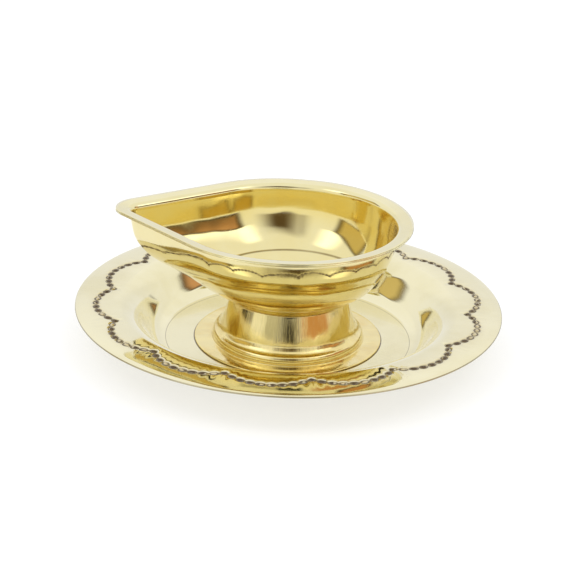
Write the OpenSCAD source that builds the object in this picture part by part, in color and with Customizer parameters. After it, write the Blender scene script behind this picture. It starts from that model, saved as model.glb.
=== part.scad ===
// Diya oil lamp: a teardrop bowl on a spun pedestal that stands in a round plate.
// Millimetres, +Z up. The origin is the centre of the plate's underside and the
// bowl's spout points along -X. A stud brazed under the bowl runs down through the
// pedestal and the plate, and a nut under the plate clamps the three together.

/* [Plate] */
// Outer diameter of the plate
plate_d = 127; // [115:1:170]
// Diameter of the flat floor inside the well
plate_floor_d = 73.8; // [67:0.2:80]
// Thickness of the plate's sheet
plate_t = 0.6; // [0.4:0.1:1]
// Radius of the cove where the floor turns up into the well wall
cove_r = 6; // [4:0.5:8]
// Slope of the well wall above the horizontal
well_slope = 60; // [50:1:68]
// Length of the straight part of the well wall
well_run = 5; // [2:0.1:7]
// Radius of the shoulder where the well wall rolls over into the rim
shoulder_r = 8; // [5:0.5:10]
// Slope of the rim where it leaves the shoulder, rising outwards
rim_rise = 4; // [2:1:8]
// Slope of the rim at its edge, falling outwards
rim_fall = 5; // [2:1:10]

/* [Plate centre] */
// Width of the raised centre's flat underside outside the washer
boss_margin = 4; // [1:0.5:5]
// Width of the raised centre's sloping side
boss_side = 3; // [2:0.5:4]
// Space left between the end of the stud and the surface that the plate stands on
stud_floor_gap = 1.1; // [0.8:0.1:3]
// Gap round the stud where it passes through the plate
stud_gap = 0.15; // [0.1:0.05:0.4]

/* [Pedestal] */
// Height from the plate's floor to the seat under the bowl
pedestal_h = 13.9; // [11:0.1:24]
// Outer diameter at the top, and of the bowl's flat floor that sits on it
neck_d = 34.8; // [31:0.2:42]
// How far the waist spreads between the top and where it would meet the foot
waist_out = 3; // [0.5:0.1:3.5]
// How far the foot stands out past the top
foot_out = 5.3; // [4.5:0.1:6]
// Width of the flat flange that lies on the plate, outside the foot
flange_w = 5.3; // [2:0.1:6]
// Thickness of the pedestal's sheet
pedestal_t = 0.5; // [0.4:0.05:0.8]
// Height of the rounded foot above the flange
foot_h = 2.5; // [1.5:0.1:3.5]
// Height above the flange at which the waist would meet the foot if it were not rounded
waist_h = 3.1; // [2.9:0.1:5]
// Gap between the braze round the stud's head and the pedestal's turned-in top
head_gap = 1.2; // [0.4:0.1:2]

/* [Bowl] */
// Radius of the bowl's round end, at the outside of the rim
bowl_r = 36.1; // [32:0.1:44]
// Distance from the lamp's axis to the end of the spout
spout_reach = 52.9; // [50:0.1:64]
// Length over which the sides stay parallel before they run in to the spout
side_run = 2; // [0:0.1:6]
// Radius of the rim at the end of the spout
spout_r = 9; // [8.4:0.1:12]
// Height of the rim above the underside of the bowl's floor
bowl_h = 23.7; // [19:0.1:29]
// Height of the crease between wall and bottom, above the floor's underside
crease_h = 12.1; // [9:0.1:14.5]
// Width of the rim's flange, measured inwards
rim_w = 3.6; // [3:0.1:4.5]
// How far the wall leans in between the rim's bend and the crease
wall_lean = 2; // [1.5:0.1:2.6]
// Width of the cone round the floor, which gives way to the dish
cone_w = 5.9; // [4:0.1:6.5]
// Height of the cone's outer ring above the underside of the floor
cone_h = 4.1; // [3:0.1:6]
// Length of dish over which its bow gains one power; a smaller length bows it more
bow_run = 14; // [10:1:24]
// Thickness of the bowl's sheet
bowl_t = 0.6; // [0.5:0.1:0.8]

/* [Fixing] */
// Diameter of the stud's thread
stud_d = 5; // [4:0.5:6]
// Diameter of the stud's head, brazed under the bowl
stud_head_d = 14; // [12:0.5:14.5]
// Thickness of the stud's head
stud_head_t = 1; // [0.8:0.1:1.6]
// Width of the brazed fillet round the head
braze_w = 0.8; // [0.4:0.1:1]
// Length of thread below the nut
stud_past_nut = 0.4; // [0.2:0.1:1]
// Width of the nut across its flats
nut_flats = 8; // [7.5:0.5:9]
// Height of the nut
nut_h = 2.7; // [2.4:0.1:3.2]
// Outer diameter of the flat washer
washer_d = 12; // [10:0.5:14]
// Thickness of the flat washer
washer_t = 1; // [0.8:0.1:1.2]
// Outer diameter of the spring washer
spring_d = 9.2; // [8.5:0.1:10]
// Thickness of the spring washer
spring_t = 1.2; // [1:0.1:1.4]
// Width of the spring washer's slot
spring_slot = 0.8; // [0.5:0.1:1.2]

/* [Hidden] */
$fn = 96;
around = 96;          // points round the bowl
crowd = 34;           // degrees by which those points crowd together at the spout
pale = [0.88, 0.82, 0.62];
gold = [0.80, 0.66, 0.30];
dull = [0.62, 0.50, 0.28];

seat_z = plate_t + pedestal_h;                 // underside of the bowl's floor
rim_z = seat_z + bowl_h;                       // top of the rim
stud_end_z = stud_floor_gap;
nut_z = stud_end_z + stud_past_nut;
spring_z = nut_z + nut_h;
washer_z = spring_z + spring_t;
boss_z = washer_z + washer_t;                  // underside of the raised centre
washer_hole_d = stud_d + 2 * stud_gap;
boss_r = washer_d / 2 + boss_margin;           // flat underside of the raised centre
neck_r = neck_d / 2;
foot_r = neck_r + foot_out;
cone_r = neck_r + cone_w;
neck_hole_r = stud_head_d / 2 + braze_w + head_gap;

// ---- paths and sheets ----

function unit(v) = v / norm(v);
function left_of(a, b) = let (d = unit(b - a)) [-d[1], d[0]];
function first_normal(p, i) = left_of(p[max(i - 1, 0)], p[max(i, 1)]);
function last_normal(p, i) = left_of(p[min(i, len(p) - 2)], p[min(i + 1, len(p) - 1)]);
// The path moved to its left by t, with mitred corners
function beside(p, t) = [
    for (i = [0 : len(p) - 1])
        let (a = first_normal(p, i), b = last_normal(p, i))
            p[i] + t * (a + b) / (1 + a * b)];
function backwards(p) = [for (i = [len(p) - 1 : -1 : 0]) p[i]];
// The outline of a sheet of thickness t that lies on the left of the path
function sheet(p, t) = concat(p, backwards(beside(p, t)));
// An arc that starts at p with slope a0 and ends with slope a1; it turns up or down
function arc(p, r, a0, a1, steps) =
    let (turn = a1 > a0 ? 1 : -1)
        [for (i = [1 : steps]) let (a = a0 + (a1 - a0) * i / steps)
            p + turn * r * [sin(a) - sin(a0), cos(a0) - cos(a)]];
function curve(a, b, c, steps) =
    [for (i = [0 : steps]) let (t = i / steps)
        (1 - t) * (1 - t) * a + 2 * t * (1 - t) * b + t * t * c];
function last(p) = p[len(p) - 1];
function rest(p) = [for (i = [1 : len(p) - 1]) p[i]];

// ---- plate ----

cove = arc([plate_floor_d / 2, 0], cove_r, 0, well_slope, 10);
wall_top = last(cove) + well_run * [cos(well_slope), sin(well_slope)];
shoulder = arc(wall_top, shoulder_r, well_slope, rim_rise, 12);
rim_len = plate_d / 2 - plate_t * sin(rim_fall) - last(shoulder)[0];
rim_arc_r = rim_len / (sin(rim_rise) + sin(rim_fall));
rim = arc(last(shoulder), rim_arc_r, rim_rise, -rim_fall, 8);
plate_path = concat(
    [[washer_hole_d / 2, boss_z], [boss_r, boss_z], [boss_r + boss_side, 0],
     [plate_floor_d / 2, 0]],
    cove, [wall_top], shoulder, rim);

module plate() {
    color(pale) rotate_extrude() polygon(sheet(plate_path, plate_t));
}

// ---- pedestal ----

foot_round = 0.7;                              // how far the top of the foot rolls in
flange_z = plate_t + pedestal_t;               // top of the flange
foot_top = [foot_r - foot_round, flange_z + foot_h];
waist_low = [neck_r + waist_out, flange_z + waist_h];
neck_top = [neck_r, seat_z];
waist_round = 0.2;                             // share of the waist that curves into the foot
pedestal_path = concat(
    [[foot_r + flange_w, flange_z], [foot_r, flange_z]],
    curve([foot_r, flange_z + foot_h / 3], [foot_r, flange_z + foot_h * 0.7], foot_top, 4),
    rest(curve(foot_top, waist_low, waist_low + waist_round * (neck_top - waist_low), 10)),
    [neck_top]);

module pedestal() {
    // The turned-in top, on which the bowl sits, closes the open spool
    color(gold) rotate_extrude() polygon(concat(
        pedestal_path,
        [[neck_hole_r, seat_z], [neck_hole_r, seat_z - pedestal_t]],
        [for (p = backwards(beside(pedestal_path, pedestal_t)))
            [p[0], min(p[1], seat_z - pedestal_t)]]));
}

// ---- bowl ----

// The rim in plan is a half circle about the axis, parallel sides, an arc about side_x
// and a small circle at the spout, joined by straight flanks; the rings below are moved
// in from it by d.
side_x = -side_run;
spout_x = spout_r - spout_reach;
flank = acos((spout_r - bowl_r) / (side_x - spout_x));     // direction the flank faces
function bearing(x, r, a) = atan2(r * sin(a), x + r * cos(a));
// Distance from the axis to a circle of radius r about [x, 0], in direction a
function to_circle(x, r, a) = x * cos(a) + sqrt(max(r * r - pow(x * sin(a), 2), 0));
// Distance from the axis to the ring that lies d inside the rim, in direction a
function ring_r(d, a) =
    let (b = a <= 180 ? a : 360 - a, r = bowl_r - d, s = spout_r - d)
        b < 90 ? r :
        b < bearing(side_x, r, 90) ? r / sin(b) :
        b < bearing(side_x, r, flank) ? to_circle(side_x, r, b) :
        b < bearing(spout_x, s, flank) ? (side_x * cos(flank) + r) / cos(b - flank) :
        to_circle(spout_x, s, b);
// Directions of the points round the bowl
bearings = [for (i = [0 : around - 1]) let (t = 360 * i / around) t + crowd * sin(t)];
function ring(d, z) = [for (a = bearings) let (r = ring_r(d, a)) [r * cos(a), r * sin(a), z]];

bend_r = 1;                                    // inside radius between rim and wall
crease_in = rim_w + bend_r + wall_lean;
crease_z = seat_z + crease_h;
// A ring of the dish, a share s of the way from the top of the cone out to the crease
function dish_ring(s, inset, lift) = [for (a = bearings)
    let (run = ring_r(crease_in, a) - cone_r, r = cone_r + s * run - inset,
         z = seat_z + cone_h + (crease_h - cone_h) * pow(s, 1 + run / bow_run))
        [r * cos(a), r * sin(a), z + lift]];
// A ring of the cone, a share s of the way from the floor out to the cone's top
function cone_ring(s, inset, lift) = [for (a = bearings)
    let (r = neck_r + s * cone_w - inset)
        [r * cos(a), r * sin(a), seat_z + cone_h * s + lift]];

// The crease is softened: rings weighted between the wall, the crease and the dish
soft_wall = 0.35;                              // share of the wall that the softening takes
soft_dish = 0.82;                              // share of the dish at which it ends
function soft_rings(wall_point, corner, dish) = [for (i = [1 : 6])
    let (t = i / 6) (1 - t) * (1 - t) * ring(wall_point[0], wall_point[1])
        + 2 * t * (1 - t) * ring(corner[0], corner[1]) + t * t * dish];
// Depth of the dish's sheet, level and upright, at a share s of the way out
function sheet_in(s) = bowl_t * (0.3 + 0.5 * s);
function sheet_up(s) = bowl_t * (1 - 0.3 * s);

// The sheet's outside, from the rim's edge down to the middle of the floor
bend_top = [rim_w, rim_z - bowl_t - 0.3];
bend_end = rim_z - bowl_t - 1.6;               // the wall is straight from here down
soft_top = [crease_in - wall_lean * soft_wall,
            crease_z + soft_wall * (bend_end - crease_z)];
bend_low = ([rim_w + bend_r, bend_end] + soft_top) / 2;
wall_path = concat(
    [[0, rim_z - bowl_t], bend_top], arc(bend_top, bend_r, -5, -75, 4),
    [[rim_w + bend_r, bend_end], bend_low, soft_top]);
dish_shares = [0.74, 0.66, 0.56, 0.44, 0.3, 0.15, 0];
cone_shares = [0.5, 0];
outside = concat(
    [for (p = wall_path) ring(p[0], p[1])],
    soft_rings(last(wall_path), [crease_in, crease_z], dish_ring(soft_dish, 0, 0)),
    [for (s = dish_shares) dish_ring(s, 0, 0)],
    [for (s = cone_shares) cone_ring(s, 0, 0)]);
inner_path = beside(wall_path, bowl_t);
inside = concat(
    [for (p = inner_path) ring(p[0], p[1])],
    soft_rings(last(inner_path), [crease_in + sheet_in(1), crease_z + sheet_up(1)],
               dish_ring(soft_dish, sheet_in(soft_dish), sheet_up(soft_dish))),
    [for (s = dish_shares) dish_ring(s, sheet_in(s), sheet_up(s))],
    [for (s = cone_shares) cone_ring(s, bowl_t * 0.3, bowl_t)]);

module bowl() {
    rows = concat(outside, backwards(inside));
    rings = len(outside);
    count = len(rows);
    low_mid = count * around;                  // middle of the floor's underside
    high_mid = low_mid + 1;
    points = concat([for (row = rows) each row],
                    [[0, 0, seat_z], [0, 0, seat_z + bowl_t]]);
    // Bands between neighbouring rows, the last of them round the rim's edge, but none
    // between the innermost rings, where two fans close the floor
    bands = [for (j = [0 : count - 1]) if (j != rings - 1)
        for (i = [0 : around - 1])
            let (k = (i + 1) % around, m = (j + 1) % count)
                [j * around + i, m * around + i, m * around + k, j * around + k]];
    fans = [for (i = [0 : around - 1])
        let (k = (i + 1) % around, j = (rings - 1) * around)
            each [[j + i, low_mid, j + k], [j + around + i, j + around + k, high_mid]]];
    color(pale) polyhedron(points, concat(bands, fans), convexity = 6);
}

// ---- fixing ----

module centre_stud() {
    color(dull) union() {
        translate([0, 0, seat_z - stud_head_t]) cylinder(h = stud_head_t, d = stud_head_d);
        translate([0, 0, stud_end_z])
            cylinder(h = seat_z - stud_head_t - stud_end_z, d = stud_d);
    }
}

module braze_fillet() {
    color(gold) rotate_extrude() polygon([
        [stud_head_d / 2, seat_z], [stud_head_d / 2 + braze_w, seat_z],
        [stud_head_d / 2, seat_z - braze_w]]);
}

module flat_washer() {
    color(dull) translate([0, 0, washer_z]) difference() {
        cylinder(h = washer_t, d = washer_d);
        translate([0, 0, -1]) cylinder(h = washer_t + 2, d = washer_hole_d);
    }
}

module spring_washer() {
    color("silver") translate([0, 0, spring_z]) difference() {
        cylinder(h = spring_t, d = spring_d);
        translate([0, 0, -1]) cylinder(h = spring_t + 2, d = washer_hole_d);
        translate([0, -spring_slot / 2, -1]) cube([spring_d, spring_slot, spring_t + 2]);
    }
}

module hex_nut() {
    corner_d = nut_flats / cos(30);
    color(dull) translate([0, 0, nut_z]) difference() {
        intersection() {
            cylinder(h = nut_h, d = corner_d, $fn = 6);
            // Takes the corners off both ends
            rotate_extrude() polygon([
                [0, 0], [nut_flats / 2, 0], [corner_d / 2, 0.4],
                [corner_d / 2, nut_h - 0.4], [nut_flats / 2, nut_h], [0, nut_h]]);
        }
        translate([0, 0, -1]) cylinder(h = nut_h + 2, d = stud_d);
    }
}

bowl();
centre_stud();
braze_fillet();
pedestal();
plate();
flat_washer();
spring_washer();
hex_nut();
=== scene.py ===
import math

import bpy
import numpy as np
from mathutils import Matrix, Vector


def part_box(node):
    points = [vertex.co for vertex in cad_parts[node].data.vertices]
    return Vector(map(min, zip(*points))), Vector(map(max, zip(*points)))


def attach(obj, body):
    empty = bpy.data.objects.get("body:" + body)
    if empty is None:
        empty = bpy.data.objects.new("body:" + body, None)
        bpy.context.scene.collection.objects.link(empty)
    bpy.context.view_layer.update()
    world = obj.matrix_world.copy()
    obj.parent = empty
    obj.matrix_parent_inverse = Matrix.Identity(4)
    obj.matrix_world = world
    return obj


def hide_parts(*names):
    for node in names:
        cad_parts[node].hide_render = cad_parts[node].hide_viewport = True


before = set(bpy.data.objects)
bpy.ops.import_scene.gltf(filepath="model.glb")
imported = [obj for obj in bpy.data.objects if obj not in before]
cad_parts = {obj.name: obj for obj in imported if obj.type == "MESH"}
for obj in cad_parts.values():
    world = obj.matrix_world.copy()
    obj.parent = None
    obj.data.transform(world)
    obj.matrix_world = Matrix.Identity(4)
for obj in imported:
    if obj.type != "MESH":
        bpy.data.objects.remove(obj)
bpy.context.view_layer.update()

mm = 0.001


# ---- bowl ----
# A teardrop bowl pressed from 0.6 mm sheet brass: a flat out-turned rim, a short leaning wall,
# a soft crease, a dish that runs up into the spout, and a spun cone round the flat floor.
# The floor sits on the pedestal, and a stud brazed under it holds the lamp together.

bowl_low, bowl_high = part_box("bowl")
seat_z = bowl_low.z                      # underside of the bowl's floor
rim_z = bowl_high.z                      # top of the rim
bowl_r = bowl_high.y                     # outside of the rim at the round end
spout_reach = -bowl_low.x                # from the lamp's axis to the end of the spout
spout_r = 9 * mm
side_x = -2 * mm                         # centre of the arc that leads into the flanks
spout_x = spout_r - spout_reach
neck_r = 17.4 * mm                       # the flat floor, and the pedestal's top under it
bowl_t = 0.6 * mm
rim_w = 3.6 * mm
rim_dip = 0.3 * mm                       # how much lower the rim is at its inner edge
rim_edge = 0.3 * mm                      # width of the rim's rounded edge
bend_r = 1 * mm                          # where the rim turns down into the wall
bend_drop = 1.6 * mm                     # from the rim's underside to where the wall starts
wall_lean = 2 * mm                       # how far in the wall leans on its way down
wall_belly = 0.27 * mm                   # the wall's slight outward bow
crease_in = rim_w + bend_r + wall_lean
crease_z = seat_z + 12.1 * mm
cone_w = 5.9 * mm                        # from the flat floor's edge out to the dish
cone_h = 4.1 * mm
bow_run = 14 * mm                        # length of dish over which its bow gains one power
soft_wall, soft_dish = 0.35, 0.82        # shares of wall and dish where the crease is softened
bowl_around = 760
spout_crowding = 0.59                    # how strongly the columns crowd together at the spout
rim_rows, bend_rows, wall_rows, crease_rows = 5, 8, 12, 14      # rows of the mesh
tiny = 1e-6                              # keeps a divisor off zero


def arc(start, radius, slope_0, slope_1, steps):
    """Points after start on an arc that leaves it at slope_0 and ends at slope_1 (degrees):
    start plus the radius times the change in (sine, minus cosine) of the slope."""
    a, a0 = np.radians(np.linspace(slope_0, slope_1, steps + 1)[1:]), math.radians(slope_0)
    turn = radius if slope_1 > slope_0 else -radius
    return np.add(start, turn * np.stack([np.sin(a) - math.sin(a0), math.cos(a0) - np.cos(a)], 1))


def curve(a, b, c, steps):
    """A quadratic curve: a, b and c weighted by (1-t) squared, 2t(1-t) and t squared."""
    t = np.linspace(0, 1, steps + 1)[:, None]
    return (1 - t) ** 2 * np.array(a) + 2 * t * (1 - t) * np.array(b) + t ** 2 * np.array(c)


def normals_of(path):
    """The unit vector to the left of the path at each of its points."""
    along = np.gradient(path, axis=0)
    return np.stack([-along[:, 1], along[:, 0]], 1) / np.linalg.norm(along, axis=1)[:, None]


def rounded_edge(p, q, steps):
    """Points between p and q on the half circle whose diameter joins them, bulging to the
    right of the way from p to q: the middle minus half the way turned by 0 to 180 degrees."""
    middle, half = (p + q) / 2, (q - p) / 2
    a = np.linspace(0, math.pi, steps + 2)[1:-1, None]
    return middle - np.cos(a) * half + np.sin(a) * np.array([half[1], -half[0]])


def skin(name, grid, poles=False):
    """A closed smooth mesh from a grid of points, rows by columns. Columns close into rings.
    Rows close on each other too, or the first and last row each shrink to one pole."""
    rows, columns, _ = grid.shape
    number = np.arange(rows * columns).reshape(rows, columns)
    after = np.roll(number, -1, axis=1)
    bands = slice(0, rows - 1) if poles else slice(0, rows)
    up, up_after = np.roll(number, -1, axis=0), np.roll(after, -1, axis=0)
    faces = np.stack([number, after, up_after, up], -1)[bands].reshape(-1, 4)
    points = grid.reshape(-1, 3)
    corners, counts = faces.ravel(), np.full(len(faces), 4)
    if poles:
        ends = grid[[0, -1]].mean(axis=1)
        south, north = len(points), len(points) + 1
        points = np.concatenate([points, ends])
        low = np.stack([np.full(columns, south), after[0], number[0]], 1)
        high = np.stack([np.full(columns, north), number[-1], after[-1]], 1)
        corners = np.concatenate([corners, low.ravel(), high.ravel()])
        counts = np.concatenate([counts, np.full(2 * columns, 3)])
    mesh = bpy.data.meshes.new(name)
    mesh.vertices.add(len(points))
    mesh.vertices.foreach_set("co", points.astype(np.float32).ravel())
    mesh.loops.add(len(corners))
    mesh.loops.foreach_set("vertex_index", corners.astype(np.int32))
    mesh.polygons.add(len(counts))
    starts = np.concatenate([[0], np.cumsum(counts)[:-1]])
    mesh.polygons.foreach_set("loop_start", starts.astype(np.int32))
    mesh.polygons.foreach_set("use_smooth", np.ones(len(counts), bool))
    mesh.update(calc_edges=True)
    mesh.validate()
    piece = bpy.data.objects.new(name, mesh)
    bpy.context.scene.collection.objects.link(piece)
    return piece


turn = np.linspace(0, 2 * np.pi, bowl_around, endpoint=False)
bearings = turn + spout_crowding * np.sin(turn)
flank = math.acos((spout_r - bowl_r) / (side_x - spout_x))
half_turn = np.where(bearings <= np.pi, bearings, 2 * np.pi - bearings)


def ring_r(inward):
    """Distance from the axis, at each bearing, to the teardrop that lies inward of the rim's:
    a half circle, parallel sides, an arc about side_x, straight flanks and the spout's arc."""
    def bearing(x, r, a):
        """From the axis, the bearing of the point at angle a on the circle of r about x."""
        return np.arctan2(r * np.sin(a), x + r * np.cos(a))

    def to_circle(x, r):
        """From the axis, the distance to the far side of the circle of r about x."""
        return x * np.cos(b) + np.sqrt(np.maximum(r * r - (x * np.sin(b)) ** 2, 0))

    b, r, s = half_turn, bowl_r - inward, spout_r - inward
    away = side_x * math.cos(flank) + r
    return np.select(
        [b < np.pi / 2, b < bearing(side_x, r, np.pi / 2), b < bearing(side_x, r, flank),
         b < bearing(spout_x, s, flank)],
        [r, r / np.maximum(np.sin(b), tiny), to_circle(side_x, r),
         away / np.maximum(np.cos(b - flank), tiny)],
        to_circle(spout_x, s))


def level(r, z):
    """The points at distance r from the axis and height z: r times the cosine and the sine of
    each bearing."""
    return np.stack([r * np.cos(bearings), r * np.sin(bearings), z + 0 * bearings], 1)


def ring(inward, z):
    """The teardrop that lies inward of the rim's, at height z."""
    return level(ring_r(inward), z)


def dish_ring(s, inset, lift):
    """The share s of the way from the cone's top ring out to the crease. Its height rises by
    the power 1 + run / bow_run of s, so the long dish under the spout bows the most."""
    cone_r = neck_r + cone_w
    run = ring_r(crease_in) - cone_r
    r = cone_r + s * run - inset
    z = seat_z + cone_h + (crease_z - seat_z - cone_h) * s ** (1 + run / bow_run) + lift
    return level(r, z)


def cone_ring(s, inset, lift):
    """The share s of the way up the cone: a circle that widens and rises by that share, less
    inset and plus lift."""
    return level(neck_r + s * cone_w - inset, seat_z + cone_h * s + lift)


def floor_ring(share, lift):
    """A circle on the flat floor, the share of the way in from its edge to the axis."""
    return level(neck_r - share * neck_r, seat_z + lift)


def soft_rings(wall_end, corner, dish):
    """Rings that round the crease off: a quadratic curve from the wall's end over the corner,
    both (inward, height), to a ring of the dish."""
    t = np.linspace(0, 1, crease_rows + 1)[1:, None, None]
    return list((1 - t) ** 2 * ring(*wall_end) + 2 * t * (1 - t) * ring(*corner) + t ** 2 * dish)


def sheet_in(s):
    """How far the sheet's inner face lies in from its outer one at the share s of the dish:
    0.3 of the sheet at the cone, and 0.8 of it at the crease."""
    return bowl_t * (0.3 + 0.5 * s)


def sheet_up(s):
    """How far the inner face lies above the outer one: the whole sheet at the cone, and 0.7
    of it at the crease."""
    return bowl_t * (1 - 0.3 * s)


under_rim = rim_z - bowl_t
bend_end = under_rim - bend_drop
soft_top = [crease_in - wall_lean * soft_wall - wall_belly,
            crease_z + soft_wall * (bend_end - crease_z)]
wall_path = np.concatenate([
    np.linspace([rim_edge, under_rim], [rim_w, under_rim - rim_dip], rim_rows),
    arc([rim_w, under_rim - rim_dip], bend_r, -5, -84, bend_rows),
    curve([rim_w + bend_r, bend_end], [rim_w + bend_r + wall_belly, (bend_end + soft_top[1]) / 2],
          soft_top, wall_rows)])
wall_inner = wall_path + normals_of(wall_path) * bowl_t
dish_shares = soft_dish - soft_dish * np.linspace(0, 1, 23)[1:] ** 0.9
cone_shares = np.linspace(1, 0, 7)[1:]
outside = [ring(*p) for p in wall_path]
outside += soft_rings(wall_path[-1], [crease_in, crease_z], dish_ring(soft_dish, 0, 0))
outside += [dish_ring(s, 0, 0) for s in dish_shares]
outside += [cone_ring(s, 0, 0) for s in cone_shares]
outside += [floor_ring(k, 0) for k in (0.03, 0.5, 0.97)]
inside = [ring(*p) for p in wall_inner]
inside += soft_rings(wall_inner[-1], [crease_in + sheet_in(1), crease_z + sheet_up(1)],
                     dish_ring(soft_dish, sheet_in(soft_dish), sheet_up(soft_dish)))
inside += [dish_ring(s, sheet_in(s), sheet_up(s)) for s in dish_shares]
inside += [cone_ring(s, sheet_in(0), bowl_t) for s in cone_shares]
inside += [floor_ring(k, bowl_t) for k in (0.05, 0.5, 0.97)]
edge = [ring(*p) for p in rounded_edge(wall_path[0], wall_inner[0], 5)]
bowl_grid = np.array(outside[::-1] + edge + inside)
bowl = skin("bowl_shell", bowl_grid, poles=True)

# How much painted reflection each row carries, a deeper gold than the pale rim that stands in for
# brass mirrored in brass: least on the wall's outside, more on the dish and the cone, and most inside
# the wall
rim_end, bend_middle = rim_rows + 1, rim_rows + bend_rows // 2
wall_start, crease_start = rim_rows + bend_rows + 1, len(wall_path)
dish_start = crease_start + crease_rows
gold_reflection_out = np.interp(np.arange(len(outside)), [rim_end, wall_start, crease_start, dish_start],
                     [0, 0.25, 0.35, 0.8])
gold_reflection_in = np.interp(np.arange(len(inside)), [bend_middle, wall_start, crease_start, dish_start],
                    [0, 0.85, 0.85, 0.25])
gold_reflection_rows = np.concatenate([gold_reflection_out[::-1], np.zeros(len(edge)), gold_reflection_in])
painted_gold_reflection = bowl.data.attributes.new("painted_gold_reflection", "FLOAT", "POINT")
painted_gold_reflection.data.foreach_set("value", np.concatenate(
    [np.repeat(gold_reflection_rows, bowl_around), gold_reflection_rows[[0, -1]]]).astype(np.float32))


class Wire:
    """An output socket in a material. Arithmetic on it adds Math nodes."""

    def __init__(self, tree, socket=None):
        self.tree, self.socket = tree, socket

    def node(self, kind, settings, inputs, out=0):
        """A new node of that type: its settings first, then each socket's value or link."""
        made = self.tree.nodes.new(kind)
        for name, value in settings.items():
            setattr(made, name, value)
        for name, value in inputs.items():
            if isinstance(value, Wire):
                self.tree.links.new(value.socket, made.inputs[name])
            else:
                made.inputs[name].default_value = value
        return Wire(self.tree, made.outputs[out] if made.outputs else None)

    def math(self, operation, *values):
        """A Math node of that operation on the values."""
        return self.node("ShaderNodeMath", {"operation": operation}, dict(enumerate(values)))

    def __add__(self, other):
        return self.math("ADD", self, other)

    def __sub__(self, other):
        return self.math("SUBTRACT", self, other)

    def __rsub__(self, other):
        return self.math("SUBTRACT", other, self)

    def __mul__(self, other):
        return self.math("MULTIPLY", self, other)

    def __abs__(self):
        return self.math("ABSOLUTE", self)

    __radd__ = __add__
    __rmul__ = __mul__


def new_material(name):
    """An empty node material, with its place in the lamp's own coordinates, in metres."""
    material = bpy.data.materials.new(name)
    material.use_nodes = True
    tree = material.node_tree
    tree.nodes.clear()
    place = Wire(tree).node("ShaderNodeTexCoord", {}, {}, "Object")
    return material, place


def noise(place, stretch, detail=2.0, rough=0.5):
    """Noise whose lumps are 1 / stretch metres long along X, Y and Z."""
    scaled = place.node("ShaderNodeVectorMath", {"operation": "MULTIPLY"}, {0: place, 1: stretch})
    return place.node("ShaderNodeTexNoise", {}, {
        "Vector": scaled, "Scale": 1.0, "Detail": detail, "Roughness": rough})


def between(value, low, high):
    """0 below low, 1 above high, and a smooth rise between."""
    return value.node("ShaderNodeMapRange", {"interpolation_type": "SMOOTHSTEP"}, {
        "Value": value, "From Min": low, "From Max": high})


def mixed(share, a, b):
    """Colour a where share is 0 and colour b where it is 1."""
    return share.node("ShaderNodeMix", {"data_type": "RGBA"}, {0: share, 6: a, 7: b}, 2)


def scratches(place, across, along, turn_deg, cut):
    """1 on thin straight scratches at that angle to X: noise stretched along them, where it
    passes through its middle value, kept only in patches."""
    turned = place.node("ShaderNodeMapping", {}, {
        "Vector": place, "Rotation": (0, 0, math.radians(turn_deg))})
    line = noise(turned, (along, across, along), 1.0)
    patch = noise(turned, (90, 140, 90), 1.0)
    near = 1 - between(abs(line - 0.5), 0, cut)
    return near * between(patch, 0.52, 0.66)


def marked(place, name):
    """The value that the piece's mesh carries under that name."""
    return place.node("ShaderNodeAttribute", {"attribute_name": name}, {}, "Fac")


def finish_metal(material, place, colour, roughness, height, depth, metal=1.0, coat=1.0):
    """Metal of that colour under a thin clear coat, with height as a bump of that depth in
    metres."""
    bump = place.node("ShaderNodeBump", {}, {"Strength": 1.0, "Distance": depth, "Height": height})
    shader = place.node("ShaderNodeBsdfPrincipled", {}, {
        "Base Color": colour, "Metallic": metal, "Roughness": roughness, "Normal": bump,
        "Coat Weight": coat, "Coat Roughness": 0.03, "Coat IOR": 1.5})
    place.node("ShaderNodeOutputMaterial", {}, {"Surface": shader})
    return material


def line_at(value, middle, half):
    """1 round the middle value, and a smooth fall to 0 at half to either side of it."""
    return 1 - between(abs(value - middle), 0.3 * half, half)


def from_axis(place):
    """The distance from the lamp's axis."""
    flat = place.node("ShaderNodeVectorMath", {"operation": "MULTIPLY"}, {0: place, 1: (1, 1, 0)})
    return place.node("ShaderNodeVectorMath", {"operation": "LENGTH"}, {0: flat}, "Value")


def polished_brass():
    """Mirror brass: broad faint waves from the press, fine scratches, a deeper gold painted inside
    the wall and under the dish as a reflection of brass in brass, and painted shade as dark lines
    along the turns of the cone and the floor."""
    material, place = new_material("polished_brass")
    radius = from_axis(place)
    deep = marked(place, "painted_gold_reflection")
    uneven = noise(place, (130, 130, 130), 3.0)
    # painted shade: dark lines along the turn at the cone's top and round the flat floor's edge
    cone_line = line_at(radius, neck_r + cone_w, 0.55 * mm)
    crease_shade = cone_line + line_at(radius, neck_r - 0.3 * mm, 0.4 * mm)
    tarnish = between(noise(place, (60, 60, 60), 4.0, 0.6), 0.35, 0.75)
    waves = noise(place, (70, 70, 110), 1.0)
    fine = scratches(place, 5200, 160, 25, 0.02) + scratches(place, 4800, 180, -50, 0.02)
    clean = mixed(tarnish, (0.80, 0.73, 0.42, 1), (0.77, 0.68, 0.35, 1))
    # painted reflection: each row's share turns the colour to the deeper gold of brass mirrored in
    # brass
    warm = mixed(deep * (0.6 + 0.6 * uneven), clean, (0.81, 0.65, 0.20, 1))
    colour = mixed(crease_shade * (0.3 + 0.9 * uneven), warm, (0.22, 0.16, 0.05, 1))
    roughness = 0.045 + 0.03 * tarnish + 0.05 * fine + 0.1 * crease_shade + 0.05 * deep
    height = waves - 0.004 * fine
    return finish_metal(material, place, colour, roughness, height, 0.25 * mm)


bowl.data.materials.append(polished_brass())
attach(bowl, "root")
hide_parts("bowl")


# ---- centre stud ----
# A brass stud turned from bar, with a wide flat head that is brazed under the bowl. Its M5
# thread hangs down through the pedestal and the plate, as far as the nut.

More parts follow.
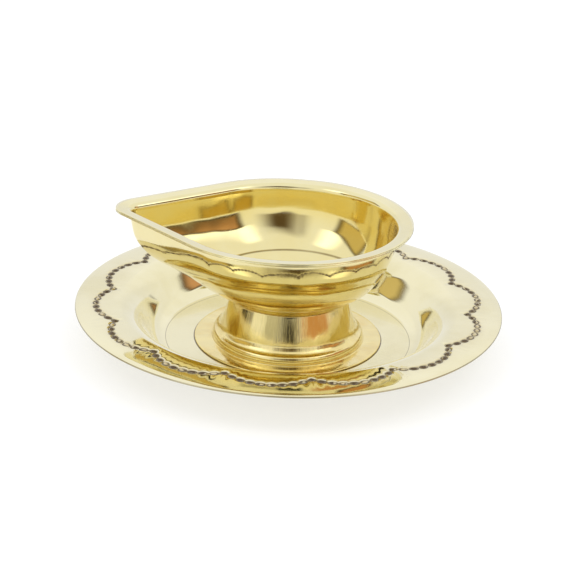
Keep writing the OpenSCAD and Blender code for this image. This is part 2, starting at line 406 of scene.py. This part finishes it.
stud_low, stud_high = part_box("centre_stud")
head_r = stud_high.x
head_z = stud_high.z - 1 * mm            # underside of the head
stud_r = 2.5 * mm
pitch, thread_deep = 0.8 * mm, 0.42 * mm
thread_end = stud_low.z + 9 * mm         # the shank is plain above this
end_r = 2.05 * mm                        # the stud's end inside its chamfer
stud_turn = np.linspace(0, 2 * np.pi, 96, endpoint=False)


def circle_rows(outline, bearings):
    """A row of points round the axis, at those bearings, for each (r, z) of the outline."""
    r, z = np.array(outline).T[:, :, None]
    return np.stack([r * np.cos(bearings), r * np.sin(bearings), z + 0 * bearings], -1)


def helix_cut(z, a):
    """How deep the thread is cut at height z and bearing a: a triangle wave of the height less
    the share of a turn, with flat crests and roots, that fades out towards the plain shank."""
    wave = 1 - abs(2 * ((z / pitch - a / (2 * np.pi)) % 1) - 1)
    fade = np.clip((thread_end - z) / pitch, 0, 1)
    return thread_deep * np.clip(1.25 * wave - 0.125, 0, 1) * fade


shank_z = np.arange(stud_low.z, head_z - 0.4 * mm, pitch / 12)[:, None]
shank_r = np.minimum(stud_r - helix_cut(shank_z, stud_turn), end_r + shank_z - stud_low.z)
shank = np.stack([shank_r * np.cos(stud_turn), shank_r * np.sin(stud_turn),
                  shank_z + 0 * stud_turn], -1)
stud_end = [[k * end_r, stud_low.z] for k in (0.05, 0.5, 0.95)]
head = np.concatenate([
    curve([stud_r, head_z - 0.3 * mm], [stud_r, head_z], [stud_r + 0.3 * mm, head_z], 5),
    curve([head_r - 0.2 * mm, head_z], [head_r, head_z], [head_r, head_z + 0.2 * mm], 4),
    curve([head_r, stud_high.z - 0.1 * mm], [head_r, stud_high.z],
          [head_r - 0.1 * mm, stud_high.z], 3),
    [[k * head_r, stud_high.z] for k in (0.9, 0.5, 0.05)]])
stud = skin("centre_stud_m5", np.concatenate([
    circle_rows(stud_end, stud_turn), shank, circle_rows(head, stud_turn)]), poles=True)


def lathe_rings(distance, fineness, detail):
    """Noise along a line, which makes even rings of a distance from the axis."""
    return distance.node("ShaderNodeTexNoise", {"noise_dimensions": "1D"}, {
        "W": distance, "Scale": fineness, "Detail": detail})


def turned_brass():
    """Brass from the lathe: fine rings round the axis, a few dull spots and handling marks."""
    material, place = new_material("turned_brass")
    radius = from_axis(place)
    height = place.node("ShaderNodeSeparateXYZ", {}, {"Vector": place}, "Z")
    rings = lathe_rings(radius + 0.7 * height, 5200.0, 2.0)
    dull = between(noise(place, (420, 420, 420), 4.0, 0.6), 0.42, 0.72)
    colour = mixed(dull, (0.74, 0.56, 0.22, 1), (0.46, 0.32, 0.13, 1))
    roughness = 0.18 + 0.12 * rings + 0.22 * dull
    return finish_metal(material, place, colour, roughness, rings + 0.3 * dull, 0.03 * mm, coat=0.0)


lathe_brass = turned_brass()
stud.data.materials.append(lathe_brass)
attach(stud, "root")
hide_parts("centre_stud")


# ---- braze fillet ----
# The brass filler that ran round the stud's head and froze against the bowl's floor: a hollow
# fillet of uneven width, pale where it flowed and stained brown by the flux.

braze_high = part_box("braze_fillet")[1]
braze_w = braze_high.x - head_r
braze_turn = np.linspace(0, 2 * np.pi, 240, endpoint=False)
reach = braze_w * (0.86 + 0.08 * np.sin(3 * braze_turn + 1) + 0.06 * np.sin(7 * braze_turn))
hollow = curve([0, 1], [0.22, 0.22], [1, 0], 10)           # (out, down) as shares of the reach
section = np.concatenate([hollow, [[0.66, 0], [0.33, 0], [0, 0], [0, 0.5]]])
out, down = section.T[:, :, None] * reach
braze = skin("braze_ring", np.stack([
    (head_r + out) * np.cos(braze_turn), (head_r + out) * np.sin(braze_turn),
    braze_high.z - down], -1))


def braze_metal():
    """Frozen filler: soft ripples, open pits and brown flux stains."""
    material, place = new_material("braze")
    ripples = noise(place, (900, 900, 500), 3.0, 0.6)
    pits = between(noise(place, (2600, 2600, 2600), 1.0), 0.62, 0.72)
    stain = between(noise(place, (500, 500, 500), 4.0, 0.65), 0.45, 0.7)
    colour = mixed(stain, (0.78, 0.66, 0.36, 1), (0.20, 0.12, 0.06, 1))
    roughness = 0.28 + 0.35 * stain
    return finish_metal(material, place, colour, roughness, ripples - 0.8 * pits, 0.12 * mm, coat=0.0)


braze.data.materials.append(braze_metal())
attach(braze, "root")
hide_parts("braze_fillet")


# ---- pedestal ----
# One spool spun from 0.5 mm sheet: a turned-in top under the bowl, a waist, a rounded foot and
# a flat flange that lies on the plate. Its polish ran up and down, which left upright marks.

pedestal_low, pedestal_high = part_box("pedestal")
flange_r = pedestal_high.x
pedestal_t = 0.5 * mm
flange_z = pedestal_low.z + pedestal_t
foot_r = 22.7 * mm
foot_round = 0.7 * mm                    # how far the top of the foot is drawn in
foot_h = 2.5 * mm
waist_h = 3.1 * mm                       # from the flange to the bottom of the waist
waist_out = 3 * mm                       # how much wider the waist is there than the neck
waist_round = 0.2                        # share of the waist that curves into the foot
lip_r = 9 * mm                           # the hole in the turned-in top
sheet_edge = 0.25 * mm                   # width of the sheet's rounded edges
foot_fillet, neck_bend = 0.3 * mm, 0.3 * mm
pedestal_turn = np.linspace(0, 2 * np.pi, 600, endpoint=False)

foot_top = [foot_r - foot_round, flange_z + foot_h]
waist_low = np.array([neck_r + waist_out, flange_z + waist_h])
neck_top = np.array([neck_r, seat_z - neck_bend])
waist_end = waist_low + waist_round * (neck_top - waist_low)
foot_start = [foot_r + foot_fillet, flange_z]
foot_low = [foot_r, flange_z + 0.4 * mm]
outer = np.concatenate([
    np.linspace([flange_r - sheet_edge, flange_z], foot_start, 8),
    curve(foot_start, [foot_r, flange_z], foot_low, 5)[1:],
    curve(foot_low, [foot_r, flange_z + foot_h * 0.7], foot_top, 12)[1:],
    curve(foot_top, waist_low, waist_end, 20)[1:],
    np.linspace(waist_end, neck_top, 24)[1:],
    arc(neck_top, neck_bend, 90, 180, 5),
    np.linspace([neck_r - 3 * neck_bend, seat_z], [lip_r + sheet_edge, seat_z], 4)])
inner = outer + normals_of(outer) * pedestal_t
inner[:, 1] = np.minimum(inner[:, 1], seat_z - pedestal_t)
pedestal_outline = np.concatenate([
    outer, rounded_edge(outer[-1], inner[-1], 4), inner[::-1],
    rounded_edge(inner[0], outer[0], 4)])
pedestal = skin("pedestal_spool", circle_rows(pedestal_outline, pedestal_turn))


def round_the_axis(place, turns, rise):
    """A place for noise that runs up and down: the direction from the axis, times turns, and
    the height times rise."""
    flat = place.node("ShaderNodeVectorMath", {"operation": "MULTIPLY"}, {0: place, 1: (1, 1, 0)})
    way = place.node("ShaderNodeVectorMath", {"operation": "NORMALIZE"}, {0: flat})
    wide = place.node("ShaderNodeVectorMath", {"operation": "SCALE"}, {0: way, "Scale": turns})
    tall = place.node("ShaderNodeVectorMath", {"operation": "MULTIPLY"}, {
        0: place, 1: (0, 0, rise)})
    return place.node("ShaderNodeVectorMath", {"operation": "ADD"}, {0: wide, 1: tall})


def spun_brass():
    """Brass with upright brush marks, over a few broad uneven flutes left by the buffing."""
    material, place = new_material("spun_brass")
    brush = noise(round_the_axis(place, 60, 60), (1, 1, 1), 3.0, 0.7)
    flutes = noise(round_the_axis(place, 5, 40), (1, 1, 1), 1.0)
    tarnish = between(noise(place, (110, 110, 60), 3.0), 0.4, 0.7)
    colour = mixed(tarnish, (0.81, 0.68, 0.30, 1), (0.76, 0.59, 0.21, 1))
    roughness = 0.06 + 0.08 * between(brush, 0.4, 0.7)
    height = 0.14 * brush + flutes
    return finish_metal(material, place, colour, roughness, height, 0.3 * mm)


pedestal.data.materials.append(spun_brass())
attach(pedestal, "root")
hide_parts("pedestal")


# ---- plate ----
# A round plate spun from 0.6 mm sheet: a raised centre over the nut, a flat floor, a steep
# well, and a broad rim that carries fourteen scallops of small oval rings, struck with a punch
# from above so that they show as bumps below. Old polish has dried dark in the dents.

plate_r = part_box("plate")[1].x
plate_t = 0.6 * mm
edge_r = plate_r - 0.3 * mm              # where the rim's rounded edge starts
floor_r = 36.9 * mm
cove_r = 6 * mm
well_slope = 60                          # degrees
well_run = 5 * mm                        # the straight stretch of the well
shoulder_r = 8 * mm
rim_rise, rim_fall = 4, 5                # degrees, at the shoulder and at the rim's edge
boss_r, boss_foot_r = 10 * mm, 13 * mm   # the raised centre, at its top and its foot
boss_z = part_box("flat_washer")[1].z      # underside of the raised centre
hole_r = 2.65 * mm
scallops, rings_each = 14, 9
columns_each = 10                        # columns of the mesh to a ring
cusp_r, crest_r = 53.2 * mm, 57.3 * mm   # the chain's nearest and farthest from the axis
first_cusp = math.radians(156.4)         # bearing of a point where two scallops meet
ring_long, ring_wide = 1.18 * mm, 0.78 * mm     # half the length and width of a ring
groove_w, groove_deep = 0.34 * mm, 0.34 * mm
pit_rise = 0.4                           # a ring's middle stands this share of the depth up
bump_spread, bump_share = 1.7, 0.5       # how much wider and lower the bumps below are
stain_w = 1.1 * mm                       # how far the smears beside the chain reach
band_clear = 2.2 * mm                    # the plain rows of the mesh keep this far off the chain

cove = arc([floor_r, 0], cove_r, 0, well_slope, 60)
steepness = math.radians(well_slope)
well_way = np.array([math.cos(steepness), math.sin(steepness)])
shoulder = arc(cove[-1] + well_run * well_way, shoulder_r, well_slope, rim_rise, 60)
slopes = math.sin(math.radians(rim_rise)) + math.sin(math.radians(rim_fall))
rim = arc(shoulder[-1], (plate_r - shoulder[-1][0]) / slopes, rim_rise, -rim_fall, 60)
boss_edge = curve([boss_r - 1.2 * mm, boss_z], [boss_r, boss_z],
                  [boss_r + 0.6 * mm, boss_z * 0.8], 12)
boss_foot = curve([boss_foot_r - 0.6 * mm, boss_z * 0.2], [boss_foot_r, 0],
                  [boss_foot_r + 1 * mm, 0], 12)
under = np.concatenate([
    [[hole_r, boss_z]], boss_edge, boss_foot, [[floor_r, 0]], cove, shoulder, rim])
top = under + normals_of(under) * plate_t

lobe_half = math.pi / scallops
lobe_chord = cusp_r * math.sin(lobe_half)
lobe_depth = crest_r - cusp_r * math.cos(lobe_half)
lobe_r = (lobe_chord ** 2 + lobe_depth ** 2) / (2 * lobe_depth)
lobe_x = crest_r - lobe_r                # from the axis to a scallop's centre
lobe_swing = math.asin(lobe_chord / lobe_r)


def chain_r(a):
    """Distance from the axis to the chain: each scallop is an arc of radius lobe_r about a
    centre lobe_x from the axis."""
    phi = (a - first_cusp) % (2 * lobe_half) - lobe_half
    return lobe_x * np.cos(phi) + np.sqrt(lobe_r ** 2 - (lobe_x * np.sin(phi)) ** 2)


def groove(a, r, width):
    """Two values at bearing a and distance r. The first is a bell of the distance to the
    nearest oval, 1 on its outline, where the ovals stand evenly along each scallop, long axis
    along it. The second is 1 in the middle of an oval and falls to 0 at its outline."""
    phi = ((a - first_cusp) % (2 * lobe_half) - lobe_half)[..., None]
    x, y = r[..., None] * np.cos(phi), r[..., None] * np.sin(phi)
    swing = lobe_swing * (2 * np.arange(rings_each + 1) / rings_each - 1)
    cx, cy = lobe_x + lobe_r * np.cos(swing), lobe_r * np.sin(swing)
    u = -(x - cx) * np.sin(swing) + (y - cy) * np.cos(swing)
    v = (x - cx) * np.cos(swing) + (y - cy) * np.sin(swing)
    oval = np.sqrt((u / ring_long) ** 2 + (v / ring_wide) ** 2) + tiny
    steep = np.sqrt((u / ring_long ** 2) ** 2 + (v / ring_wide ** 2) ** 2) / oval + tiny
    pit = np.clip(1 - oval ** 2, 0, 1).max(axis=-1)
    return np.exp(-(((oval - 1) / steep) / width) ** 2).max(axis=-1), pit


plate_around = scallops * rings_each * columns_each
plate_turn = np.linspace(0, 2 * np.pi, plate_around, endpoint=False) + first_cusp
chain = chain_r(plate_turn)


def plate_rows(surface, radii, band, width, deep):
    """Rows of one surface of the plate: circles at the radii, but along the chain where band
    gives distances from it. The height is the surface's, less the depth of the grooves."""
    inner_rows = [np.full(plate_around, r) for r in radii if r < cusp_r - band_clear]
    outer_rows = [np.full(plate_around, r) for r in radii if r > crest_r + band_clear]
    r = np.array(inner_rows + [chain + b for b in band] + outer_rows)
    cut, pit = groove(plate_turn + 0 * r, r, width)
    z = np.interp(r, surface[:, 0], surface[:, 1]) - deep * (cut - pit_rise * pit)
    smear = np.exp(-((r - chain) / stain_w) ** 2)
    return np.stack([r * np.cos(plate_turn), r * np.sin(plate_turn), z], -1), [cut, pit, smear]


# Rows of the mesh: circles over the plain parts, and a band of rows that follows the chain
boss_rows = np.array([8.6, 9.3, 10, 11, 12.2, 13, 14.2]) * mm
plain_r = np.concatenate([
    [hole_r + 0.2 * mm], boss_rows, [25 * mm],
    np.linspace(floor_r - 0.3 * mm, cove[-1][0], 8),
    np.linspace(shoulder[0][0] - 0.6 * mm, shoulder[-1][0] - 0.4 * mm, 11),
    [60 * mm, 61.5 * mm, edge_r]])
upper_band = np.arange(-8, 9) * 0.21 * mm
lower_band = np.linspace(-1.7, 1.7, 9) * mm
upper, upper_marks = plate_rows(top, plain_r, upper_band, groove_w, groove_deep)
lower, _ = plate_rows(under, plain_r, lower_band, groove_w * bump_spread, groove_deep * bump_share)
lip = rounded_edge(np.array([edge_r, lower[-1, 0, 2]]), np.array([edge_r, upper[-1, 0, 2]]), 4)
hole = np.array([[hole_r, lower[0, 0, 2] + k * plate_t] for k in (0.75, 0.25)])

plate_grid = np.concatenate([
    lower, circle_rows(lip, plate_turn), upper[::-1], circle_rows(hole, plate_turn)])
plate = skin("plate_sheet", plate_grid)
plain_lip, plain_hole = np.zeros((len(lip), plate_around)), np.zeros((len(hole), plate_around))
upper_marks.append(np.ones_like(upper_marks[0]))
for title, above in zip(("punched", "pit", "beside_chain", "upper_face"), upper_marks):
    marks = plate.data.attributes.new(title, "FLOAT", "POINT")
    values = np.concatenate([0 * lower[..., 0], plain_lip, above[::-1], plain_hole])
    marks.data.foreach_set("value", values.astype(np.float32).ravel())


def chain_patina(place):
    """Where dried polish covers the chain, as it fills some rings and lies unevenly along all
    outlines, and where it is smeared thinly to either side."""
    blotch = noise(place, (500, 500, 500), 2.0)
    some_rings = between(noise(place, (260, 260, 260), 1.0), 0.38, 0.5)
    filled = between(marked(place, "pit") * some_rings, 0.15, 0.5)
    outline = between(marked(place, "punched") * (0.3 + 1.1 * blotch), 0.28, 0.75)
    worn = 1 - (1 - filled) * (1 - 0.9 * outline)
    return worn, marked(place, "beside_chain") * (0.25 + 0.9 * blotch) * (1 - worn)


def plate_brass():
    """Pale brass: a satin floor with spin rings, a polished rim, dark patina in the dents, and
    painted shadow and shade as thin dark lines round the flange, the floor's edge and the rim's edge.
    """
    material, place = new_material("plate_brass")
    radius = from_axis(place)
    on_floor = 1 - between(radius, floor_r - 1 * mm, floor_r + 1 * mm)
    spin = lathe_rings(radius, 2600.0, 3.0)
    grain = noise(place, (900, 900, 900), 3.0, 0.7)
    tarnish = between(noise(place, (45, 45, 45), 4.0, 0.6), 0.4, 0.75)
    waves = noise(place, (60, 60, 60), 1.0)
    fine = scratches(place, 5200, 160, 12, 0.02) + scratches(place, 4600, 200, 75, 0.02)
    worn, smeared = chain_patina(place)
    upper_face = marked(place, "upper_face")
    # painted shadow: a thin dark line on the plate just outside the pedestal's flange, where its edge
    # shades the plate
    flange_shadow = upper_face * line_at(radius, flange_r + 0.12 * mm, 0.25 * mm)
    # painted shade: a thin dark line along the turn where the flat floor meets the well
    turned = upper_face * line_at(radius, floor_r - 0.2 * mm, 0.15 * mm)
    # painted shade: a dark line round the plate's rounded outer edge
    rim_edge_shade = line_at(radius, plate_r, 0.3 * mm)
    # the dark patina in the dents together with the painted shadow and shade lines above
    patina_and_painted_shade = worn + flange_shadow + 0.6 * turned + 0.5 * rim_edge_shade
    clean = mixed(tarnish, (0.83, 0.77, 0.51, 1), (0.76, 0.69, 0.41, 1))
    rubbed = mixed(0.8 * smeared, clean, (0.42, 0.28, 0.11, 1))
    colour = mixed(patina_and_painted_shade, rubbed, (0.085, 0.05, 0.02, 1))
    roughness = 0.05 + 0.03 * tarnish + on_floor * (0.12 + 0.12 * grain) + 0.3 * worn + 0.05 * fine
    height = waves + on_floor * (0.015 * spin + 0.02 * grain) - 0.004 * fine
    return finish_metal(material, place, colour, roughness, height, 0.2 * mm,
                        metal=1 - 0.7 * worn, coat=1 - worn)


plate.data.materials.append(plate_brass())
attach(plate, "root")
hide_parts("plate")


# ---- flat washer ----
# A turned brass washer that spreads the nut's pull under the plate's raised centre.

washer_low, washer_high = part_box("flat_washer")
washer_r = washer_high.x


def softened(corners, cut, steps=4):
    """The closed outline with a quadratic curve over each corner, from cut before it to cut
    past it."""
    c = np.array(corners)
    back, on = np.roll(c, 1, axis=0) - c, np.roll(c, -1, axis=0) - c
    back, on = (cut * way / np.linalg.norm(way, axis=1)[:, None] for way in (back, on))
    return np.concatenate([curve(p + b, p, p + o, steps) for p, b, o in zip(c, back, on)])


washer = skin("flat_washer_m5", circle_rows(softened(
    [[hole_r, washer_low.z], [washer_r, washer_low.z], [washer_r, washer_high.z],
     [hole_r, washer_high.z]], 0.15 * mm), stud_turn))
washer.data.materials.append(lathe_brass)
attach(washer, "root")
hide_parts("flat_washer")


# ---- spring washer ----
# One turn of spring steel, cut through at the slot and almost flat now that the nut is tight.
# It keeps the lamp from working loose as it warms and cools.

spring_low, spring_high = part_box("spring_washer")
spring_r = spring_high.y
slot_w = 0.8 * mm
spring_rise = 0.12 * mm                  # how far one end still stands above the other
spring_top = spring_high.z - spring_rise
section_r, section_z = softened(
    [[hole_r, spring_top], [spring_r, spring_top], [spring_r, spring_low.z],
     [hole_r, spring_low.z]], 0.12 * mm, 3).T
share = np.linspace(0, 1, 121)[:, None]  # of the way round, from one side of the slot
slot_a = np.arcsin(slot_w / 2 / section_r)
wound_a = slot_a + share * (2 * np.pi - 2 * slot_a)
coil = np.stack([section_r * np.cos(wound_a), section_r * np.sin(wound_a),
                 section_z + spring_rise * share], -1)
spring = skin("spring_washer_m5", coil, poles=True)


def spring_steel():
    """Oiled spring steel: drawn lines round the turn, blue-grey with brown patches."""
    material, place = new_material("spring_steel")
    drawn = noise(place, (700, 700, 6000), 2.0)
    brown = between(noise(place, (600, 600, 600), 4.0, 0.6), 0.5, 0.72)
    colour = mixed(brown, (0.36, 0.37, 0.39, 1), (0.20, 0.15, 0.11, 1))
    roughness = 0.3 + 0.1 * drawn + 0.25 * brown
    return finish_metal(material, place, colour, roughness, drawn, 0.03 * mm, coat=0.0)


spring.data.materials.append(spring_steel())
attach(spring, "root")
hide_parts("spring_washer")


# ---- hex nut ----
# A thin brass nut, sawn from hexagon bar and chamfered at both ends, that clamps it all.

nut_low, nut_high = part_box("hex_nut")
corner_r, flat_r = nut_high.x, nut_high.y
nut_chamfer = 0.4 * mm
bore_chamfer = 0.25 * mm
nut_turn = np.linspace(0, 2 * np.pi, 144, endpoint=False)
hexagon = flat_r / np.cos(nut_turn % (np.pi / 3) - np.pi / 6)
end_z = np.linspace(0, nut_chamfer, 7)
nut_z = np.concatenate([nut_low.z + end_z, [(nut_low.z + nut_high.z) / 2],
                        nut_high.z - end_z[::-1]])[:, None]
from_end = np.minimum(nut_z - nut_low.z, nut_high.z - nut_z)
cone = flat_r + (corner_r - flat_r) * from_end / nut_chamfer
side_r = np.minimum(hexagon, cone)
sides = np.stack([side_r * np.cos(nut_turn), side_r * np.sin(nut_turn),
                  nut_z + 0 * nut_turn], -1)
face_end = 0.97 * flat_r                 # the end faces stop just short of the chamfer
face_r = [stud_r + bore_chamfer, face_end]
bore = [[stud_r, nut_high.z - bore_chamfer], [stud_r, nut_low.z + bore_chamfer]]
nut = skin("hex_nut_m5", np.concatenate([
    circle_rows([[r, nut_low.z] for r in face_r], nut_turn), sides,
    circle_rows([[r, nut_high.z] for r in face_r[::-1]], nut_turn), circle_rows(bore, nut_turn)]))
nut.data.materials.append(lathe_brass)
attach(nut, "root")
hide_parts("hex_nut")


# ---- studio ----
# A pale floor that glows a little, even white surroundings, two soft boxes overhead, and
# curved cards round the lamp, dark, warm and bright, that show only in its reflections.

eye_azimuth = 7.5                        # degrees, as are the elevation and the roll
eye_elevation = 22.86
eye_roll = 2.02
eye_distance = 0.508
eye_right, eye_lift = -0.38 * mm, 14.4 * mm     # from the plate's middle to the view's
lens, sensor_w = 105.3, 36               # in millimetres, as Blender takes them
near_clip, far_clip = 0.01, 20
floor_half = 4                           # the floor is a square, this far to each side
floor_drop = 0.2 * mm                    # so that the floor doesn't touch the plate


def turned_about_axis(v, degrees):
    """The vector v turned about the lamp's axis: the plane rotation of its x and y."""
    a = math.radians(degrees)
    return np.array([v[0] * math.cos(a) - v[1] * math.sin(a),
                     v[0] * math.sin(a) + v[1] * math.cos(a), v[2]])


tilt = math.radians(eye_elevation)
right = turned_about_axis([1, 0, 0], eye_azimuth)
above = turned_about_axis([0, math.sin(tilt), math.cos(tilt)], eye_azimuth)
ahead = turned_about_axis([0, math.cos(tilt), -math.sin(tilt)], eye_azimuth)
stand = np.array([0, 0, plate_t]) + eye_right * right + eye_lift * above - eye_distance * ahead
roll = math.radians(eye_roll)
cam_x = math.cos(roll) * right + math.sin(roll) * above
cam_y = math.cos(roll) * above - math.sin(roll) * right
camera = bpy.data.objects.new("camera", bpy.data.cameras.new("camera"))
bpy.context.scene.collection.objects.link(camera)
camera.data.lens = lens
camera.data.sensor_width = sensor_w
camera.data.clip_start, camera.data.clip_end = near_clip, far_clip
axes = np.eye(4)
axes[:3] = np.stack([cam_x, cam_y, -ahead, stand], 1)
camera.matrix_world = Matrix(axes)
bpy.context.scene.camera = camera


def studio_card(name, points, faces):
    """A mesh that isn't part of the lamp, with an empty material and its coordinates."""
    mesh = bpy.data.meshes.new(name)
    mesh.from_pydata(points, [], faces)
    made = bpy.data.objects.new(name, mesh)
    bpy.context.scene.collection.objects.link(made)
    material, place = new_material(name)
    mesh.materials.append(material)
    return made, place


def pale_floor():
    """A matt square under the lamp that glows a little by itself."""
    corners = [(sx * floor_half, sy * floor_half, -floor_drop)
               for sx, sy in ((-1, -1), (1, -1), (1, 1), (-1, 1))]
    _, place = studio_card("floor", corners, [(0, 1, 2, 3)])
    shader = place.node("ShaderNodeBsdfPrincipled", {}, {
        "Base Color": (0.42, 0.42, 0.42, 1), "Roughness": 1.0, "Specular IOR Level": 0.0,
        "Emission Color": (1, 1, 1, 1), "Emission Strength": 0.6})
    place.node("ShaderNodeOutputMaterial", {}, {"Surface": shader})


def from_eye(azimuth, elevation, distance):
    """The point at that distance from the lamp, azimuth degrees to the right of the camera."""
    a, up = math.radians(azimuth), math.radians(elevation)
    way = np.array([math.sin(a) * math.cos(up), -math.cos(a) * math.cos(up), math.sin(up)])
    return turned_about_axis(way * distance, eye_azimuth)


def flag(name, azimuths, heights, distance, colour, soft):
    """An upright curved card round the lamp, between two azimuths from the camera and two
    heights, that fades out over the share soft of its width and, at the top, of its height.
    It shows only in reflections."""
    k = 13                               # columns of the card
    feet = np.array([from_eye(a, 0, distance) for a in np.linspace(*azimuths, k)])
    points = np.concatenate([feet + [0, 0, heights[0]], feet + [0, 0, heights[1]]])
    made, place = studio_card(
        name, points.tolist(), [(i, i + 1, k + i + 1, k + i) for i in range(k - 1)])
    across = made.data.attributes.new("across", "FLOAT", "POINT")
    across.data.foreach_set("value", np.tile(np.linspace(0, 1, k), 2))
    upward = made.data.attributes.new("upward", "FLOAT", "POINT")
    upward.data.foreach_set("value", np.repeat([0.0, 1.0], k))
    x, y = marked(place, "across"), marked(place, "upward")
    cover = between(x, 0, soft) * (1 - between(x, 1 - soft, 1)) * (1 - between(y, 1 - soft, 1))
    glow = place.node("ShaderNodeEmission", {}, {"Color": (*colour, 1), "Strength": 1.0})
    clear = place.node("ShaderNodeBsdfTransparent", {}, {})
    shader = place.node("ShaderNodeMixShader", {}, {0: cover, 1: clear, 2: glow})
    place.node("ShaderNodeOutputMaterial", {}, {"Surface": shader})
    made.visible_camera = made.visible_diffuse = made.visible_shadow = False


def soft_box(name, azimuth, elevation, distance, size, power):
    """A wide area light that faces the lamp and doesn't show in reflections."""
    light = bpy.data.lights.new(name, "AREA")
    light.energy, light.shape, light.size = power, "SQUARE", size
    made = bpy.data.objects.new(name, light)
    made.location = from_eye(azimuth, elevation, distance)
    made.visible_glossy = False
    made.rotation_euler = Vector(-made.location).to_track_quat("-Z", "Y").to_euler()
    bpy.context.scene.collection.objects.link(made)


pale_floor()
dark, brown, grey = (0.03, 0.025, 0.02), (0.12, 0.08, 0.04), (0.58, 0.57, 0.50)
copper, gold, umber = (0.68, 0.36, 0.17), (0.72, 0.56, 0.22), (0.10, 0.07, 0.035)
haze, bright = (0.93, 0.93, 0.93), (1.9, 1.9, 1.9)
for name, azimuths, heights, distance, colour, soft in (
        ("low_dark", (-14, 22), (0, 0.055), 0.2, dark, 0.25),
        ("low_grey", (-48, -6), (0, 0.055), 0.2, grey, 0.25),
        ("low_warm", (20, 80), (0, 0.055), 0.2, copper, 0.25),
        ("low_left", (-140, -66), (0, 0.036), 0.22, dark, 0.15),
        ("low_right", (85, 150), (0, 0.036), 0.22, dark, 0.15),
        ("high_dark", (-30, 42), (0.3, 1.1), 0.9, brown, 0.45),
        ("side_right_frame", (52, 108), (0.14, 0.45), 0.6, umber, 0.16),
        ("side_right_copper", (58, 104), (0.16, 0.38), 0.55, copper, 0.25),
        ("side_left_frame", (-116, -52), (0.14, 0.45), 0.6, umber, 0.16),
        ("side_left_gold", (-112, -58), (0.14, 0.39), 0.55, gold, 0.2),
        ("bright_left", (-82, -34), (0.6, 1.5), 0.9, bright, 0.45),
        ("bright_right", (36, 84), (0.6, 1.5), 0.9, bright, 0.45),
        ("backdrop", (100, 260), (0, 0.7), 1.2, haze, 0.45)):
    flag(name, azimuths, heights, distance, colour, soft)
for side, azimuth in (("left", -58), ("right", 58)):
    soft_box("soft_box_" + side, azimuth, 58, 1.2, 0.5, 1.5)

world = bpy.data.worlds.new("white_tent")
world.use_nodes = True
surroundings = world.node_tree.nodes["Background"].inputs
surroundings["Color"].default_value = (1, 1, 1, 1)
surroundings["Strength"].default_value = 1.05
bpy.context.scene.world = world
bpy.context.scene.view_settings.view_transform = "Standard"
# Light bounces many times between the facing polished walls
bpy.context.scene.cycles.max_bounces = bpy.context.scene.cycles.glossy_bounces = 32
